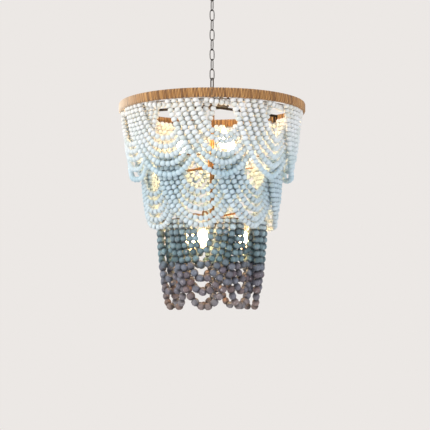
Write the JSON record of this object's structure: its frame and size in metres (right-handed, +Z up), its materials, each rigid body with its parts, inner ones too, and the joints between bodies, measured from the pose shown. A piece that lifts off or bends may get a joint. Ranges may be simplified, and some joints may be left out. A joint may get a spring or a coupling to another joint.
{
  "type": "beaded chandelier",
  "caption": "Round chandelier hung from a ceiling canopy on an oval-link chain, with a rope-wound rim, tiers of bead swags and candle lamps inside.",
  "frame": {"origin": "middle of the ceiling strap's upper face, which seats against the ceiling box", "axes": "+Z up, out of the strap's ceiling face; -Y towards the viewer of the picture; +X to the viewer's right"},
  "size_m": [0.61, 0.61, 1.112],
  "materials": {
    "bronze": "dark bronze, satin",
    "steel": "zinc plated",
    "rope": "natural jute rope",
    "white_beads": "off-white painted wood",
    "pale_blue_beads": "pale blue painted wood",
    "teal_beads": "pale to teal and slate painted wood",
    "porcelain": "glazed off-white",
    "lamp_glass": "frosted warm white, lit"
  },
  "bodies": {
    "ceiling_mount": {"ceiling_strap": "steel", "canopy_loop": "bronze"},
    "canopy_cover": {"canopy": "bronze"},
    "collar": {"collar_nut": "bronze"},
    "upper_link": {"chain_link_1": "bronze"},
    "chain_run": {"chain_link_2": "bronze", "chain_link_3": "bronze", "chain_link_4": "bronze", "chain_link_5": "bronze", "chain_link_6": "bronze", "chain_link_7": "bronze", "chain_link_8": "bronze"},
    "lower_link": {"chain_link_9": "bronze"},
    "fitting": {"top_loop": "bronze", "top_spider": "bronze", "rim_band": "steel", "rope_wrap": "rope", "centre_rod": "steel", "upper_sleeve": "bronze", "lower_sleeve": "bronze", "middle_hoop": "bronze", "lower_hoop": "bronze", "finial": "bronze", "upper_lamp_arms": "bronze", "lower_lamp_arms": "bronze", "upper_socket_1": "porcelain", "upper_socket_2": "porcelain", "upper_socket_3": "porcelain", "lower_socket_1": "porcelain", "lower_socket_2": "porcelain", "lower_socket_3": "porcelain", "upper_swag_1": "white_beads", "upper_swag_2": "white_beads", "upper_swag_3": "white_beads", "upper_swag_4": "white_beads", "upper_swag_5": "white_beads", "upper_swag_6": "white_beads", "upper_swag_7": "white_beads", "upper_swag_8": "white_beads", "upper_swag_9": "white_beads", "middle_swag_1": "pale_blue_beads", "middle_swag_2": "pale_blue_beads", "middle_swag_3": "pale_blue_beads", "middle_swag_4": "pale_blue_beads", "middle_swag_5": "pale_blue_beads", "middle_swag_6": "pale_blue_beads", "middle_swag_7": "pale_blue_beads", "lower_swag_1": "teal_beads", "lower_swag_2": "teal_beads", "lower_swag_3": "teal_beads", "lower_swag_4": "teal_beads", "lower_swag_5": "teal_beads", "lower_swag_6": "teal_beads", "lower_swag_7": "teal_beads"},
    "upper_lamp_1": {"upper_bulb_1": "lamp_glass"},
    "upper_lamp_2": {"upper_bulb_2": "lamp_glass"},
    "upper_lamp_3": {"upper_bulb_3": "lamp_glass"},
    "lower_lamp_1": {"lower_bulb_1": "lamp_glass"},
    "lower_lamp_2": {"lower_bulb_2": "lamp_glass"},
    "lower_lamp_3": {"lower_bulb_3": "lamp_glass"}
  },
  "joints": [
    {"name": "canopy_lowering", "type": "slide", "parent": "ceiling_mount", "child": "canopy_cover", "axis": [0, 0, -1], "range_m": [0, 0.024]},
    {"name": "collar_lowering", "type": "slide", "parent": "ceiling_mount", "child": "collar", "axis": [0, 0, -1], "range_m": [0, 0.024]},
    {"name": "upper_link_swing", "type": "hinge", "parent": "ceiling_mount", "child": "upper_link", "pos_m": [0, 0, -0.0615], "axis": [0, 1, 0], "range_deg": [-15, 15]},
    {"name": "chain_swing", "type": "hinge", "parent": "upper_link", "child": "chain_run", "pos_m": [0, 0, -0.0935], "axis": [1, 0, 0], "range_deg": [-15, 15]},
    {"name": "lower_link_swing", "type": "hinge", "parent": "chain_run", "child": "lower_link", "pos_m": [0, 0, -0.3245], "axis": [0, 1, 0], "range_deg": [-15, 15]},
    {"name": "fitting_swing", "type": "hinge", "parent": "lower_link", "child": "fitting", "pos_m": [0, 0, -0.3575], "axis": [1, 0, 0], "range_deg": [-15, 15]},
    {"name": "upper_lamp_1_removal", "type": "slide", "parent": "fitting", "child": "upper_lamp_1", "axis": [0, 0, 1], "range_m": [0, 0.027]},
    {"name": "upper_lamp_2_removal", "type": "slide", "parent": "fitting", "child": "upper_lamp_2", "axis": [0, 0, 1], "range_m": [0, 0.027]},
    {"name": "upper_lamp_3_removal", "type": "slide", "parent": "fitting", "child": "upper_lamp_3", "axis": [0, 0, 1], "range_m": [0, 0.027]},
    {"name": "lower_lamp_1_removal", "type": "slide", "parent": "fitting", "child": "lower_lamp_1", "axis": [0, 0, -1], "range_m": [0, 0.027]},
    {"name": "lower_lamp_2_removal", "type": "slide", "parent": "fitting", "child": "lower_lamp_2", "axis": [0, 0, -1], "range_m": [0, 0.027]},
    {"name": "lower_lamp_3_removal", "type": "slide", "parent": "fitting", "child": "lower_lamp_3", "axis": [0, 0, -1], "range_m": [0, 0.027]}
  ],
  "couplings": [
    {"joint": "collar_lowering", "follows": "canopy_lowering", "ratio": 1}
  ]
}
